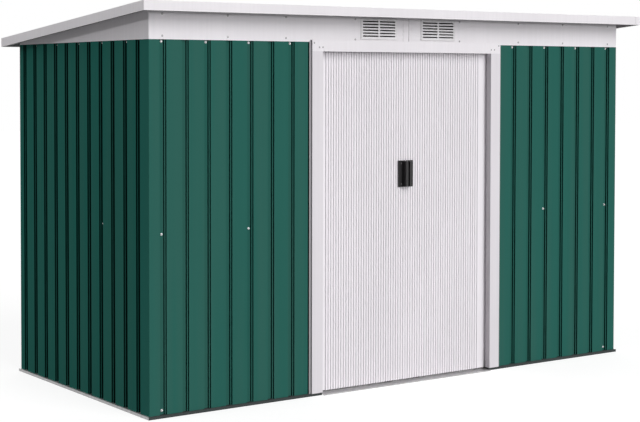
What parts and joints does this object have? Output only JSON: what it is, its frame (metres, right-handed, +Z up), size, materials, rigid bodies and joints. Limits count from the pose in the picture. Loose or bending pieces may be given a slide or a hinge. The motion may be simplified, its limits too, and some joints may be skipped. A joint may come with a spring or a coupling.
{
  "type": "metal tool shed",
  "caption": "Lean-to metal garden tool shed of grooved green sheets with a white front frame, sliding ribbed double doors, louvred vents and a single-pitch white roof.",
  "frame": {"origin": "middle of the overall box on the ground under the base rails", "axes": "+X along the front towards the right end seen from outside, +Y from the doors to the rear wall, +Z up"},
  "size_m": [2.802, 1.321, 1.6602],
  "materials": {
    "green_sheet": "satin green coating on grooved sheet steel",
    "white_sheet": "satin white coating on sheet steel",
    "galvanised_steel": "dull galvanised",
    "dark_coat": "dull dark grey coating on steel",
    "white_plastic": "matt moulded",
    "black_plastic": "matt moulded"
  },
  "bodies": {
    "shed": {"base_rail_front_left": "dark_coat", "base_rail_front_right": "dark_coat", "base_rail_left": "galvanised_steel", "base_rail_right": "galvanised_steel", "base_rail_rear": "galvanised_steel", "door_sill": "galvanised_steel", "front_left_panel": "green_sheet", "front_right_panel": "green_sheet", "left_wall_front_sheet": "green_sheet", "left_wall_rear_sheet": "green_sheet", "right_wall_front_sheet": "green_sheet", "right_wall_rear_sheet": "green_sheet", "rear_wall_left_sheet": "green_sheet", "rear_wall_middle_sheet": "green_sheet", "rear_wall_right_sheet": "green_sheet", "front_corner_angles": "galvanised_steel", "rear_corner_angles": "galvanised_steel", "front_mid_straps": "galvanised_steel", "side_mid_rails": "galvanised_steel", "rear_mid_rail": "galvanised_steel", "front_top_rail": "galvanised_steel", "side_top_rails": "galvanised_steel", "rear_top_rail": "galvanised_steel", "left_door_post": "white_sheet", "right_door_post": "white_sheet", "door_header": "white_sheet", "upper_door_track": "galvanised_steel", "lower_door_track": "galvanised_steel", "header_band_left": "white_sheet", "header_band_right": "white_sheet", "header_vents": "white_plastic", "left_gable": "white_sheet", "right_gable": "white_sheet", "roof_beam": "galvanised_steel", "roof_left_sheet": "white_sheet", "roof_middle_sheet": "white_sheet", "roof_right_sheet": "white_sheet", "front_fascia": "white_sheet", "rear_fascia": "white_sheet", "left_fascia": "white_sheet", "right_fascia": "white_sheet"},
    "left_door": {"left_door_panel": "white_sheet", "left_door_rails": "white_sheet", "left_door_glides": "black_plastic", "left_door_handle": "black_plastic"},
    "right_door": {"right_door_panel": "white_sheet", "right_door_rails": "white_sheet", "right_door_glides": "black_plastic", "right_door_handle": "black_plastic"}
  },
  "joints": [
    {"name": "left_door_slide", "type": "slide", "parent": "shed", "child": "left_door", "axis": [-1, 0, 0], "range_m": [0, 0.43]},
    {"name": "right_door_slide", "type": "slide", "parent": "shed", "child": "right_door", "axis": [1, 0, 0], "range_m": [0, 0.43]}
  ]
}
